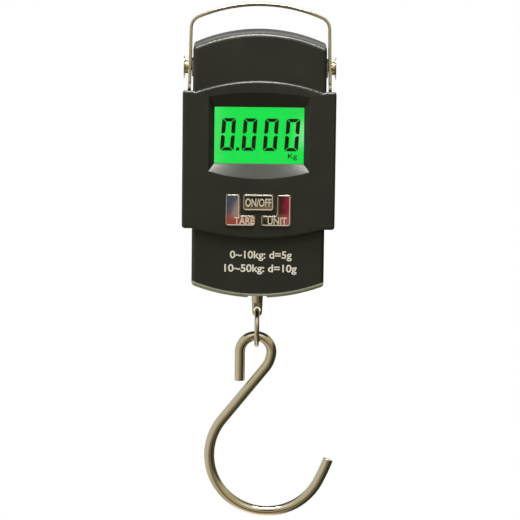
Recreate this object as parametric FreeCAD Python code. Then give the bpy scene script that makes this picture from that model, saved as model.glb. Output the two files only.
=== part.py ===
"""Hanging electronic fish scale: strap handle, swinging casing, link ring and S hook.

Units are millimetres. +X is the right-hand side seen from the display, +Y points to the
rear, +Z up. The origin is the middle of the handle's underside, where the scale hangs.
Every sub-part is written to its own STEP file in parts/.
"""
import FreeCAD, Part
import math
import os

V = FreeCAD.Vector
X_AXIS = V(1, 0, 0)
Y_AXIS = V(0, 1, 0)
Z_AXIS = V(0, 0, 1)

# ---- driving dimensions: handle -------------------------------------------------------
STRIP_T = 1.5            # strap thickness
STRIP_W = 11.0           # strap width, front to back
ARCH_R = 74.75           # centreline radius of the grip
ARCH_HALF = 29.46        # half span of the grip arc
BEND_R = 5.95            # centreline radius of the two shoulders
LEG_LEAN = 1.4           # degrees the legs lean outwards, going down
PIVOT_Z = -30.0
TAIL_Z = -42.0           # lowest point of the legs
AXLE_R = 2.5

# ---- casing ---------------------------------------------------------------------------
BODY_HALF = 31.9
BODY_FRONT = -12.5
BODY_REAR = 12.5
BODY_TOP = (-12.3, -19.3)        # height at the middle and at the side walls
BODY_BOTTOM = (-140.4, -134.4)
BODY_CORNER = 2.0
BODY_FILLET = 1.9
REAR_FILLET = 1.6
WALL = 2.0

BAND_HALF = 36.7
BAND_FRONT = -14.5
BAND_ARC_HALF = 30.6             # half span of the band's curved edges
EAR_TOP = -39.8
EAR_BOTTOM = -106.4
BAND_TOP = (-34.8, -40.3)
BAND_BOTTOM = (-111.0, -106.9)
BAND_CORNER = 1.5
BAND_FILLET = 1.2
EAR_SLOPE = 12.0                 # degrees the ears' tops fall to the rear

# ---- display --------------------------------------------------------------------------
VIEW_HALF = 21.45                # half width of the display opening
VIEW_TOP = -47.7
VIEW_BOTTOM = -75.0
VIEW_Y = -11.5                   # depth at which the sloping recess ends
RECESS_HALF = 24.2
RECESS_TOP = (-40.3, -42.5)
RECESS_BOTTOM = (-81.9, -78.5)
LIP_ROUND = 0.5
GLASS_HALF = 23.2

# ---- circuit board --------------------------------------------------------------------
BOARD_HALF = 23.5
BOARD_TOP = -46.0
BOARD_BOTTOM = -107.0
BOARD_FRONT = -6.4
BOARD_BACK = -5.2

# ---- keys -----------------------------------------------------------------------------
KEY_TOP = -89.5
KEY_BOTTOM = -104.6
KEY_STEP = -99.7                 # upper edge of the low arm of the two L keys
KEY_OUT = 15.5                   # outer edge of the L keys
KEY_ARM_IN = 9.0
KEY_LEG_IN = 1.5
POWER_HALF = 7.2
POWER_BOTTOM = -97.1
KEY_FACE = -15.2
KEY_GAP = 0.25
KEY_CORNER = 1.1
KEY_RIM = 0.8                    # width of the raised rim
KEY_DISH = 0.3                   # depth inside the rim
KEY_HOLE_ROUND = 0.2             # front edges of the key openings
SWITCHES = {"on_off": (0.0, -93.3), "tare": (-11.2, -101.4), "unit": (11.2, -101.4)}

# ---- load cell and eye ----------------------------------------------------------------
CELL_HALF_X = 7.0
CELL_HALF_Y = 4.5
CELL_TOP = -22.0
CELL_BOTTOM = -116.0
NUT_SLOT = (-104.0, -96.0)
SHANK_R = 2.5
EYE_HOLE_Z = -148.3
EYE_BOTTOM = -151.8

# ---- ring and hook --------------------------------------------------------------------
RING_R = 8.475
RING_WIRE = 1.2
RING_Z = -156.97
HOOK_WIRE = 2.5
HOOK_TOP = -161.4                # wire centre at the top of the small loop

# ---- batteries ------------------------------------------------------------------------
BATTERY_R = 5.25
BATTERY_X = 14.5
BATTERY_Y = 5.35
BAY = (8.9, 20.1, -124.5, -74.5)         # inner x, outer x, bottom, top of a bay
BAY_WALL = 1.2
COVER_HALF = 21.3
COVER_TOP = -71.0
COVER_Y = 10.7
TONGUE = 0.9
COVER_SLIDE = 6.0                # travel that frees the tabs, clear of the hook anywhere
TAB_TOPS = (-74.0, -93.0, -112.0)
TAB_LENGTH = 4.6

CASE_SCREWS = [(25.0, -23.8), (-25.0, -23.8), (25.4, -125.5), (-25.4, -125.5)]
BOARD_SCREWS = [(20.6, -84.0), (-20.6, -84.0), (20.6, -104.0), (-20.6, -104.0)]

os.makedirs("parts", exist_ok=True)


# ---- small helpers --------------------------------------------------------------------
def save(name, *solids):
    """Write one node; several separate solids become one group."""
    shape = solids[0] if len(solids) == 1 else Part.makeCompound(list(solids))
    shape.exportStep(f"parts/{name}.step")


def box(x0, x1, y0, y1, z0, z1):
    return Part.makeBox(x1 - x0, y1 - y0, z1 - z0, V(x0, y0, z0))


def rod(radius, start, end):
    """Cylinder between two points."""
    a, b = V(*start), V(*end)
    return Part.makeCylinder(radius, (b - a).Length, a, b - a)


def both_sides(shape):
    """The shape and its mirror image across the X = 0 plane."""
    return [shape, shape.mirror(V(0, 0, 0), X_AXIS)]


def line(a, b, y):
    return Part.LineSegment(V(a[0], y, a[1]), V(b[0], y, b[1])).toShape()


def arc(a, mid, b, y):
    return Part.Arc(V(a[0], y, a[1]), V(mid[0], y, mid[1]), V(b[0], y, b[1])).toShape()


def face_to_prism(edges, depth):
    return Part.Face(Part.Wire(edges)).extrude(V(0, depth, 0))


def polygon_prism(points, y0, y1):
    """Prism along Y over a closed polygon of (x, z) points."""
    pairs = zip(points, points[1:] + points[:1])
    return face_to_prism([line(a, b, y0) for a, b in pairs], y1 - y0)


def edges_along_y(shape):
    return [e for e in shape.Edges
            if len(e.Vertexes) == 2 and abs(e.tangentAt(e.FirstParameter).y) > 0.999]


def edges_at_y(shape, y):
    return [e for e in shape.Edges
            if abs(e.BoundBox.YMin - y) < 1e-4 and abs(e.BoundBox.YMax - y) < 1e-4]


def rounded_prism(points, y0, y1, radius):
    solid = polygon_prism(points, y0, y1)
    return solid.makeFillet(radius, edges_along_y(solid))


def crowned_edges(half, top, bottom, y):
    """Closed outline with straight sides, a crowned top and a crowned bottom."""
    tm, te = top
    bm, be = bottom
    return [arc((-half, te), (0, tm), (half, te), y),
            line((half, te), (half, be), y),
            arc((half, be), (0, bm), (-half, be), y),
            line((-half, be), (-half, te), y)]


# ---- handle ---------------------------------------------------------------------------
def strap_side(offset):
    """Points of the right half of the strap's centreline moved outwards by offset."""
    crown = STRIP_T / 2 + offset
    start = math.asin(ARCH_HALF / ARCH_R)
    end = math.radians(90 - LEG_LEAN)
    bend = V(ARCH_HALF - BEND_R * math.sin(start), 0,
             STRIP_T / 2 - ARCH_R * (1 - math.cos(start)) - BEND_R * math.cos(start))

    def on_bend(angle):
        r = BEND_R + offset
        return (bend.x + r * math.sin(angle), bend.z + r * math.cos(angle))

    shoulder = on_bend(end)
    foot_x = shoulder[0] + (shoulder[1] - TAIL_Z) * math.tan(math.radians(LEG_LEAN))
    return {"crown": (0, crown), "arch": on_bend(start),
            "bend": on_bend((start + end) / 2), "shoulder": shoulder,
            "foot": (foot_x, TAIL_Z)}


def mirrored(p):
    return (-p[0], p[1])


def make_handle():
    out, inn = strap_side(STRIP_T / 2), strap_side(-STRIP_T / 2)
    y = -STRIP_W / 2
    edges = []
    for s in (out, inn):
        left = {k: mirrored(p) for k, p in s.items()}
        edges += [line(left["foot"], left["shoulder"], y),
                  arc(left["shoulder"], left["bend"], left["arch"], y),
                  arc(left["arch"], s["crown"], s["arch"], y),
                  arc(s["arch"], s["bend"], s["shoulder"], y),
                  line(s["shoulder"], s["foot"], y)]
    edges += [line(out["foot"], inn["foot"], y),
              line(mirrored(out["foot"]), mirrored(inn["foot"]), y)]
    strap = Part.Face(Part.Wire(Part.__sortEdges__(edges))).extrude(V(0, STRIP_W, 0))
    soft = [e for y_side in (y, -y) for e in edges_at_y(strap, y_side)
            if e.BoundBox.ZMax > TAIL_Z + 0.1]
    strap = strap.makeFillet(0.3, soft)
    round_z = TAIL_Z + STRIP_W / 2
    reach = BAND_HALF + 5
    keep = box(-reach, reach, -STRIP_W, STRIP_W, round_z, 10).fuse(
        rod(STRIP_W / 2, (-reach, 0, round_z), (reach, 0, round_z)))
    strap = strap.common(keep)
    return strap.cut(rod(1.55, (-reach, 0, PIVOT_Z), (reach, 0, PIVOT_Z)))


LEG_X = strap_side(0)["foot"][0] - (PIVOT_Z - TAIL_Z) * math.tan(math.radians(LEG_LEAN))
LEG_IN = LEG_X - STRIP_T / 2 - 0.18      # clear of the leaning inner face
LEG_OUT = LEG_X + STRIP_T / 2 + 0.25


def make_axle():
    """Steel rod that carries everything, drilled at both ends for the side screws."""
    axle = rod(AXLE_R, (-LEG_IN, 0, PIVOT_Z), (LEG_IN, 0, PIVOT_Z))
    for side in (-1, 1):
        axle = axle.cut(rod(1.52, (side * LEG_IN, 0, PIVOT_Z),
                            (side * (LEG_IN - 9), 0, PIVOT_Z)))
    return axle


def make_side_screw():
    """Shouldered screw with a wide dished flange and a cross recess."""
    neck = rod(3.15, (LEG_OUT, 0, PIVOT_Z), (LEG_OUT + 1.2, 0, PIVOT_Z))
    dish = Part.makeCone(3.15, 5.35, 0.5, V(LEG_OUT + 1.2, 0, PIVOT_Z), X_AXIS)
    rim = rod(5.35, (LEG_OUT + 1.7, 0, PIVOT_Z), (LEG_OUT + 2.0, 0, PIVOT_Z))
    shank = rod(1.5, (LEG_OUT - 8.0, 0, PIVOT_Z), (LEG_OUT, 0, PIVOT_Z))
    screw = neck.fuse([dish, rim, shank]).removeSplitter()
    x0, x1 = LEG_OUT + 0.9, LEG_OUT + 3
    cross = box(x0, x1, -2.2, 2.2, PIVOT_Z - 0.45, PIVOT_Z + 0.45).fuse(
        box(x0, x1, -0.45, 0.45, PIVOT_Z - 2.2, PIVOT_Z + 2.2))
    return screw.cut(cross)


def make_axle_washer():
    x0, x1 = BODY_HALF + 0.12, LEG_IN - 0.02
    ring = rod(4.6, (x0, 0, PIVOT_Z), (x1, 0, PIVOT_Z))
    return ring.cut(rod(AXLE_R + 0.05, (x0 - 1, 0, PIVOT_Z), (x1 + 1, 0, PIVOT_Z)))


# ---- casing outer form ----------------------------------------------------------------
def body_block():
    edges = crowned_edges(BODY_HALF, BODY_TOP, BODY_BOTTOM, BODY_FRONT)
    block = face_to_prism(edges, BODY_REAR - BODY_FRONT)
    block = block.makeFillet(BODY_CORNER, edges_along_y(block))
    block = block.makeFillet(BODY_FILLET, edges_at_y(block, BODY_FRONT))
    return block.makeFillet(REAR_FILLET, edges_at_y(block, BODY_REAR))


def ear_wedge():
    """What is cut off the top of an ear, so that it falls away behind its front edge."""
    start = BAND_FRONT + BAND_FILLET
    reach = BODY_REAR + 1 - start
    drop = reach * math.tan(math.radians(EAR_SLOPE))
    profile = Part.Face(Part.makePolygon([
        V(BODY_HALF, start, EAR_TOP), V(BODY_HALF, start + reach, EAR_TOP - drop),
        V(BODY_HALF, start + reach, EAR_TOP + 1), V(BODY_HALF, start, EAR_TOP + 1),
        V(BODY_HALF, start, EAR_TOP)]))
    return profile.extrude(V(BAND_HALF - BODY_HALF + 1, 0, 0))


def band_block():
    """Wider raised band with flat ears and crowned edges."""
    y, h, a = BAND_FRONT, BAND_HALF, BAND_ARC_HALF
    te, be = BAND_TOP[1], BAND_BOTTOM[1]
    rise = a + 1.0
    edges = [line((-h, EAR_TOP), (-rise, EAR_TOP), y), line((-rise, EAR_TOP), (-a, te), y),
             arc((-a, te), (0, BAND_TOP[0]), (a, te), y),
             line((a, te), (rise, EAR_TOP), y), line((rise, EAR_TOP), (h, EAR_TOP), y),
             line((h, EAR_TOP), (h, EAR_BOTTOM), y),
             line((h, EAR_BOTTOM), (rise, EAR_BOTTOM), y),
             line((rise, EAR_BOTTOM), (a, be), y),
             arc((a, be), (0, BAND_BOTTOM[0]), (-a, be), y),
             line((-a, be), (-rise, EAR_BOTTOM), y),
             line((-rise, EAR_BOTTOM), (-h, EAR_BOTTOM), y),
             line((-h, EAR_BOTTOM), (-h, EAR_TOP), y)]
    block = face_to_prism(edges, BODY_REAR - BAND_FRONT)
    corners = [e for e in edges_along_y(block) if abs(e.Vertexes[0].X) > h - 0.01]
    block = block.makeFillet(BAND_CORNER, corners)
    block = block.makeFillet(BAND_FILLET, edges_at_y(block, BAND_FRONT))
    block = block.makeFillet(BAND_FILLET, edges_at_y(block, BODY_REAR))
    return block.cut(both_sides(ear_wedge()))


def casing_cavity():
    """Everything that is hollow inside the two shells."""
    inner = BODY_HALF - WALL
    edges = crowned_edges(inner, (BODY_TOP[0] - WALL, BODY_TOP[1] - WALL),
                          (BODY_BOTTOM[0] + WALL, BODY_BOTTOM[1] + WALL), BODY_FRONT + WALL)
    main = face_to_prism(edges, BODY_REAR - BODY_FRONT - 2 * WALL)
    ears = both_sides(box(inner - 1, BAND_HALF - WALL, BAND_FRONT + WALL, BODY_REAR - WALL,
                          EAR_BOTTOM + WALL, EAR_TOP - 5.7))
    keys = box(-19, 19, BAND_FRONT + WALL, BODY_FRONT + WALL + 1, -106.5, -87.5)
    return main.fuse(ears + [keys])


def display_recess():
    """Sloping funnel around the display, and the opening behind it."""
    wide = Part.Wire(crowned_edges(RECESS_HALF, RECESS_TOP, RECESS_BOTTOM, BAND_FRONT))
    h, t, b = VIEW_HALF, VIEW_TOP, VIEW_BOTTOM
    corners = [(-h, t), (h, t), (h, b), (-h, b)]
    pairs = zip(corners, corners[1:] + corners[:1])
    narrow = Part.Wire([line(a, c, VIEW_Y) for a, c in pairs])
    funnel = Part.makeLoft([wide, narrow], True, True)
    opening = rounded_prism(corners, VIEW_Y - 0.2, BODY_FRONT + WALL + 0.5, 0.5)
    return funnel.fuse(opening)


# ---- keys -----------------------------------------------------------------------------
def key_outline(name, grow=0.0):
    """Corner points of a key, grown outwards by the given amount."""
    g = grow
    if name == "on_off":
        h, top, low = POWER_HALF + g, KEY_TOP + g, POWER_BOTTOM - g
        return [(-h, top), (h, top), (h, low), (-h, low)]
    out, arm, leg = KEY_OUT + g, KEY_ARM_IN - g, KEY_LEG_IN - g
    top, step, low = KEY_TOP + g, KEY_STEP + g, KEY_BOTTOM - g
    right = [(arm, top), (out, top), (out, low), (leg, low), (leg, step), (arm, step)]
    return right if name == "unit" else [mirrored(p) for p in right]


def key_prism(name, grow, y0, y1, radius=KEY_CORNER):
    return rounded_prism(key_outline(name, grow), y0, y1, radius)


def make_key(name):
    """Cap with a raised rim, a retaining flange behind the front wall and a stem."""
    back = BAND_FRONT + WALL + 0.1
    cap = key_prism(name, 0, KEY_FACE, back)
    cap = cap.cut(key_prism(name, -KEY_RIM, KEY_FACE - 1, KEY_FACE + KEY_DISH, 0.4))
    flange = key_prism(name, 0.6, back, back + 0.8)
    x, z = SWITCHES[name]
    stem = rod(1.7, (x, back + 0.8, z), (x, -9.9, z))
    return cap.fuse([flange, stem])


def make_plunger(name):
    x, z = SWITCHES[name]
    return rod(1.5, (x, -9.9, z), (x, -8.0, z))


def make_switch_housings():
    housings = []
    for x, z in SWITCHES.values():
        block = box(x - 3, x + 3, -9.0, BOARD_FRONT, z - 3, z + 3)
        housings.append(block.cut(rod(1.7, (x, -10, z), (x, -7.2, z))))
    return housings


# ---- shells ---------------------------------------------------------------------------
def bottom_notch():
    return box(-4.6, 4.6, -20, 8, BODY_BOTTOM[0] - 1, BODY_BOTTOM[0] + 1.1)


def axle_hole():
    return rod(AXLE_R + 0.35, (-BAND_HALF, 0, PIVOT_Z), (BAND_HALF, 0, PIVOT_Z))


def tail_pockets():
    """Round pockets in the ears, so that the strap's tails can swing."""
    reach = PIVOT_Z - TAIL_Z + 0.45
    return both_sides(rod(reach, (BODY_HALF + 0.15, 0, PIVOT_Z), (LEG_OUT + 0.5, 0, PIVOT_Z)))


def shank_hole():
    return rod(3.6, (0, 0, -145), (0, 0, -130))


def outer_form():
    return body_block().fuse(band_block()).removeSplitter()


def edges_within(shell, half, low, high):
    """Edges on the band's face whose boxes lie inside a rectangle, a little grown."""
    m = 1.0
    return [e for e in edges_at_y(shell, BAND_FRONT)
            if max(abs(e.BoundBox.XMin), abs(e.BoundBox.XMax)) < half + m
            and e.BoundBox.ZMin > low - m and e.BoundBox.ZMax < high + m]


def make_front_shell(outer):
    shell = outer.common(box(-50, 50, -30, 0, -200, 10))
    recess_backing = box(-26, 26, BAND_FRONT + 0.1, BODY_FRONT + WALL, -84, -41)
    shell = shell.cut(casing_cavity().cut(recess_backing))
    posts = [rod(3.1, (x, BODY_FRONT + 1, z), (x, 0, z)) for x, z in CASE_SCREWS]
    posts += [rod(2.3, (x, BODY_FRONT + 1, z), (x, BOARD_FRONT, z)) for x, z in BOARD_SCREWS]
    shell = shell.fuse(posts)
    holes = [rod(1.32, (x, -9.6, z), (x, 1, z)) for x, z in CASE_SCREWS]
    holes += [rod(1.02, (x, -10.2, z), (x, 1, z)) for x, z in BOARD_SCREWS]
    holes += [key_prism(n, KEY_GAP, BAND_FRONT - 1, BAND_FRONT + WALL + 1) for n in SWITCHES]
    holes += tail_pockets() + [display_recess(), axle_hole(), shank_hole(), bottom_notch()]
    shell = shell.cut(holes).removeSplitter()
    shell = shell.makeFillet(LIP_ROUND, edges_within(shell, RECESS_HALF, RECESS_BOTTOM[0],
                                                     RECESS_TOP[0]))
    return shell.makeFillet(KEY_HOLE_ROUND, edges_within(shell, KEY_OUT, KEY_BOTTOM, KEY_TOP))


def battery_bays():
    x0, x1, low, top = BAY
    return both_sides(box(x0, x1, 0, BODY_REAR + 1, low, top))


def cover_bed():
    """Recess of the battery cover, with a groove and a way out for each side tab."""
    low = BODY_BOTTOM[0] - 1
    h = COVER_HALF + 0.2
    cuts = [box(-h, h, COVER_Y, BODY_REAR + 1, low, COVER_TOP + 0.2)]
    for top in TAB_TOPS:
        end = top - COVER_SLIDE - TAB_LENGTH - 0.3
        cuts.append(box(-h - TONGUE, h + TONGUE, COVER_Y, COVER_Y + 0.9, end, top + 0.2))
        cuts.append(box(-h - TONGUE, h + TONGUE, COVER_Y, BODY_REAR + 1, end,
                        top - COVER_SLIDE + 0.3))
    return cuts


def make_rear_shell(outer):
    shell = outer.common(box(-50, 50, 0, 30, -200, 10)).cut(casing_cavity())
    x0, x1, low, top = BAY
    w = BAY_WALL
    trays = both_sides(box(x0 - w, x1 + w, -w, COVER_Y, low - w, top + w))
    half = COVER_HALF + TONGUE + 1.3
    floor = box(-half, half, COVER_Y - 1.8, BODY_REAR - 0.5, -136, COVER_TOP + 2)
    floor = floor.common(outer)
    bosses = [rod(3.9, (x, 0.0, z), (x, BODY_REAR - 1, z)) for x, z in CASE_SCREWS]
    shell = shell.fuse(trays + [floor] + bosses)
    holes = [rod(1.4, (x, -1, z), (x, BODY_REAR, z)) for x, z in CASE_SCREWS]
    holes += [rod(2.9, (x, 9.6, z), (x, BODY_REAR + 1, z)) for x, z in CASE_SCREWS]
    holes += battery_bays() + cover_bed() + tail_pockets()
    holes += wire_holes() + [axle_hole(), shank_hole(), bottom_notch()]
    return shell.cut(holes).removeSplitter()


def make_battery_cover(outer):
    """Sliding cover with three tabs on each side and grip grooves."""
    low = BODY_BOTTOM[0] - 1
    plate = box(-COVER_HALF, COVER_HALF, COVER_Y + 0.15, BODY_REAR - 0.1, low, COVER_TOP)
    t = COVER_HALF + TONGUE - 0.2
    tabs = [box(-t, t, COVER_Y + 0.15, COVER_Y + 0.75, top - TAB_LENGTH, top)
            for top in TAB_TOPS]
    cover = plate.fuse(tabs).common(outer)
    grooves = [rod(0.45, (-6 + 0.6 * i, BODY_REAR - 0.1, -122 - 2.2 * i),
                   (6 - 0.6 * i, BODY_REAR - 0.1, -122 - 2.2 * i)) for i in range(4)]
    return cover.cut(grooves).removeSplitter()


# ---- display stack --------------------------------------------------------------------
def make_lcd_window():
    return box(-23.5, 23.5, -10.45, -9.7, -77.2, -45.8)


def make_lcd_glass():
    """Two glass plates; the rear one is longer, for the contact ledge."""
    front = box(-GLASS_HALF, GLASS_HALF, -9.65, -8.75, -73.9, -46.2)
    rear = box(-GLASS_HALF, GLASS_HALF, -8.75, -7.8, -77.0, -46.2)
    return front.fuse(rear).removeSplitter()


def make_zebra_strip():
    return box(-21, 21, -7.8, BOARD_FRONT, -76.7, -74.2)


def make_backlight_panel():
    return rounded_prism([(-22, -46.6), (22, -46.6), (22, -73.6), (-22, -73.6)],
                         -7.75, -6.45, 0.8)


def make_backlight_leds():
    return both_sides(box(22.05, 23.3, -7.7, -6.4, -61.6, -58.2))


# ---- circuit board --------------------------------------------------------------------
def make_board():
    h, t, b = BOARD_HALF, BOARD_TOP, BOARD_BOTTOM
    board = rounded_prism([(-h, t), (h, t), (h, b), (-h, b)], BOARD_FRONT, BOARD_BACK, 1.5)
    return board.cut([rod(1.1, (x, -8, z), (x, -3, z)) for x, z in BOARD_SCREWS])


def make_board_components():
    """Chip under a resin drop, crystal, capacitors and resistors on the board's rear."""
    y = BOARD_BACK
    sphere = Part.makeSphere(7.5, V(-14.5, y - 6.0, -60))
    blob = sphere.common(box(-25, 0, y, y + 3, -70, -50))
    parts = [blob, rod(1.6, (13.0, y, -53.0), (13.0, y + 3.2, -53.0)),
             rod(1.6, (18.0, y, -53.0), (18.0, y + 3.2, -53.0)),
             box(10.0, 15.0, y, y + 1.6, -64.0, -62.2), box(9.5, 13.5, y, y + 1.5, -90, -86)]
    parts += [box(16.0 + 2 * i, 17.2 + 2 * i, y, y + 0.5, -92.4, -90.0) for i in range(3)]
    parts += [box(-18.0 + 2 * i, -16.8 + 2 * i, y, y + 0.5, -92.4, -90.0) for i in range(3)]
    return parts


# ---- screws ---------------------------------------------------------------------------
def pan_screw(x, z, head_r, shank_r, seat, head_h, tip):
    """Pan head towards the rear, seated at Y = seat, with its tip towards the front."""
    head = rod(head_r, (x, seat, z), (x, seat + head_h, z))
    head = head.makeFillet(head_h * 0.4, edges_at_y(head, seat + head_h))
    a, b = head_r * 0.55, head_r * 0.13
    cross = box(x - a, x + a, seat + head_h * 0.4, seat + 5, z - b, z + b).fuse(
        box(x - b, x + b, seat + head_h * 0.4, seat + 5, z - a, z + a))
    return head.fuse(rod(shank_r, (x, tip, z), (x, seat, z))).cut(cross)


# ---- load cell ------------------------------------------------------------------------
def make_load_cell():
    """Aluminium bar with two joined holes, an axle bore and a nut slot."""
    cell = box(-CELL_HALF_X, CELL_HALF_X, -CELL_HALF_Y, CELL_HALF_Y, CELL_BOTTOM, CELL_TOP)
    cell = cell.makeChamfer(0.5, [e for e in cell.Edges if abs(e.Length
                            - (CELL_TOP - CELL_BOTTOM)) < 0.01])
    holes = [rod(3.6, (0, -9, z), (0, 9, z)) for z in (-50, -68)]
    holes.append(box(-1.2, 1.2, -9, 9, -68, -50))
    holes.append(rod(AXLE_R + 0.05, (-9, 0, PIVOT_Z), (9, 0, PIVOT_Z)))
    holes.append(box(-5, 5, -9, 9, NUT_SLOT[0], NUT_SLOT[1]))
    holes.append(rod(SHANK_R + 0.05, (0, 0, CELL_BOTTOM - 1), (0, 0, NUT_SLOT[0] + 1)))
    return cell.cut(holes)


def make_strain_gauges():
    pads = []
    for z in (-50, -68):
        pads += both_sides(box(CELL_HALF_X, CELL_HALF_X + 0.25, -2, 2, z - 3, z + 3))
    return pads


def make_load_eye():
    """Round shank with a flattened, tapering eye at its lower end."""
    shank = rod(SHANK_R, (0, 0, -139), (0, 0, -97))
    taper = Part.makeCone(2.5, 2.95, 11.4, V(0, 0, -149.4), Z_AXIS)
    tip = Part.makeSphere(2.5, V(0, 0, EYE_BOTTOM + 2.5))
    eye = shank.fuse([taper, tip])
    flat = 2.1
    eye = eye.cut([box(-4, 4, flat, 6, -153, -144.6), box(-4, 4, -6, -flat, -153, -144.6)])
    hole = rod(1.7, (0, -4, EYE_HOLE_Z), (0, 4, EYE_HOLE_Z))
    flares = [Part.makeCone(2.15, 1.7, 0.45, V(0, s * flat, EYE_HOLE_Z), V(0, -s, 0))
              for s in (-1, 1)]
    return eye.cut([hole] + flares).removeSplitter()


def make_eye_nut():
    z = NUT_SLOT[0] + 0.85
    corners = [V(4.62 * math.cos(math.radians(60 * i)), 4.62 * math.sin(math.radians(60 * i)), z)
               for i in range(7)]
    nut = Part.Face(Part.makePolygon(corners)).extrude(V(0, 0, 4))
    return nut.cut(rod(SHANK_R + 0.01, (0, 0, z - 1), (0, 0, z + 5)))


def make_eye_washer():
    z = NUT_SLOT[0]
    return rod(4.4, (0, 0, z), (0, 0, z + 0.8)).cut(
        rod(SHANK_R + 0.1, (0, 0, z - 1), (0, 0, z + 2)))


# ---- ring and hook --------------------------------------------------------------------
def make_ring():
    return Part.makeTorus(RING_R, RING_WIRE, V(0, 0, RING_Z), X_AXIS)


def arc_path(start, heading, moves):
    """Tangent lines and arcs in the XZ plane. A move is (length,) or (radius, degrees);
    positive degrees turn left. Returns the edges."""
    x, z = start
    h = math.radians(heading)
    edges = []
    for move in moves:
        if len(move) == 1:
            end = (x + move[0] * math.cos(h), z + move[0] * math.sin(h))
            edges.append(line((x, z), end, 0))
        else:
            radius, turn = move[0], math.radians(move[1])
            side = math.copysign(radius, turn)
            cx, cz = x - side * math.sin(h), z + side * math.cos(h)

            def at(angle):
                return (cx + side * math.sin(h + angle), cz - side * math.cos(h + angle))

            end = at(turn)
            edges.append(arc((x, z), at(turn / 2), end, 0))
            h += turn
        x, z = end
    return edges, (x, z), h


HOOK_LOOP = 7.7
HOOK_ROUND = 0.45
HOOK_MOVES = [(14.5,), (HOOK_LOOP, -186.4), (14.4, -32.1), (33.2,), (28.3, 191.0), (95.0, 7.6)]


def make_hook():
    """Round bar bent to an S: short leg, small loop, long slope and an open bowl, with
    both ends cut square."""
    leg_x = -HOOK_LOOP - 0.45
    start = (leg_x, HOOK_TOP - HOOK_LOOP - HOOK_MOVES[0][0])
    edges, end, heading = arc_path(start, 90, HOOK_MOVES)
    wire = Part.Wire(edges)
    ring = Part.Wire(Part.makeCircle(HOOK_WIRE, V(start[0], 0, start[1]), Z_AXIS))
    bar = wire.makePipeShell([ring], True, True)
    tips = [V(start[0], 0, start[1]), V(end[0], 0, end[1])]
    rims = [e for e in bar.Edges if abs(e.Length - 2 * math.pi * HOOK_WIRE) < 0.01
            and min(e.CenterOfMass.distanceToPoint(t) for t in tips) < 0.01]
    return bar.makeFillet(HOOK_ROUND, rims)


# ---- batteries and wiring -------------------------------------------------------------
def make_battery(side):
    """AAA cell; the left one has its positive nub up, the right one down."""
    x, y = side * BATTERY_X, BATTERY_Y
    low, top = (-119.6, -76.2) if side < 0 else (-122.8, -79.4)
    can = rod(BATTERY_R, (x, y, low), (x, y, top))
    rims = [e for e in can.Edges if abs(e.Length - 2 * math.pi * BATTERY_R) < 0.01]
    can = can.makeFillet(0.5, rims)
    nub = (top, top + 1.1) if side < 0 else (low - 1.1, low)
    return can.fuse(rod(1.9, (x, y, nub[0]), (x, y, nub[1]))).removeSplitter()


def make_spring(side):
    """Three and a half turns of contact spring against the negative end."""
    x, y = side * BATTERY_X, BATTERY_Y
    z = -123.8 if side < 0 else -78.9
    pitch, turns, radius, wire = 1.1, 3.4, 3.3, 0.3
    helix = Part.makeHelix(pitch, pitch * turns, radius)
    circle = Part.Wire(Part.makeCircle(wire, V(radius, 0, 0), Y_AXIS))
    spring = Part.Wire(helix).makePipeShell([circle], True, True)
    spring.translate(V(x, y, z))
    return spring


def make_contacts():
    x0, x1, low, top = BAY
    plates = [box(x0 + 1, x1 - 1, 1.5, 9.5, low, low + 0.35),
              box(x0 + 1, x1 - 1, 1.5, 9.5, top - 0.35, top)]
    return [p for plate in plates for p in both_sides(plate)]


def make_tube(points, radius, bend):
    """Round wire along straight runs joined by arcs of the given radius."""
    pts = [V(*p) for p in points]
    edges, last = [], pts[0]
    for i in range(1, len(pts) - 1):
        back, ahead = (pts[i - 1] - pts[i]).normalize(), (pts[i + 1] - pts[i]).normalize()
        half = back.getAngle(ahead) / 2
        cut = bend / math.tan(half)
        a, b = pts[i] + back * cut, pts[i] + ahead * cut
        middle = (back + ahead).normalize() * (bend / math.sin(half) - bend)
        edges += [Part.LineSegment(last, a).toShape(),
                  Part.Arc(a, pts[i] + middle, b).toShape()]
        last = b
    edges.append(Part.LineSegment(last, pts[-1]).toShape())
    circle = Part.Wire(Part.makeCircle(radius, pts[0], pts[1] - pts[0]))
    return Part.Wire(edges).makePipeShell([circle], True, True)


WIRE_X = 11.0


def wire_holes():
    return [rod(0.9, (s * WIRE_X, 3.0, -76), (s * WIRE_X, 3.0, -72)) for s in (-1, 1)]


def make_battery_wires():
    """From the upper contact of each cell, through the tray's wall, to the board."""
    z = BAY[3] + 4.5
    wires = []
    for x in (-WIRE_X, WIRE_X):
        route = [(x, 3.0, BAY[3]), (x, 3.0, z), (x, BOARD_BACK, z)]
        wires.append(make_tube(route, 0.65, 2.0))
    return wires


def make_sensor_wires():
    """Gauge leads to the board, one pair on each side of the load cell."""
    leads = []
    for z in (-50, -68):
        x = CELL_HALF_X + 0.25
        lead = make_tube([(x, 0, z), (x + 1.6, 0, z), (x + 1.6, BOARD_BACK, z)], 0.4, 0.8)
        leads += both_sides(lead)
    return leads


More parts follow.
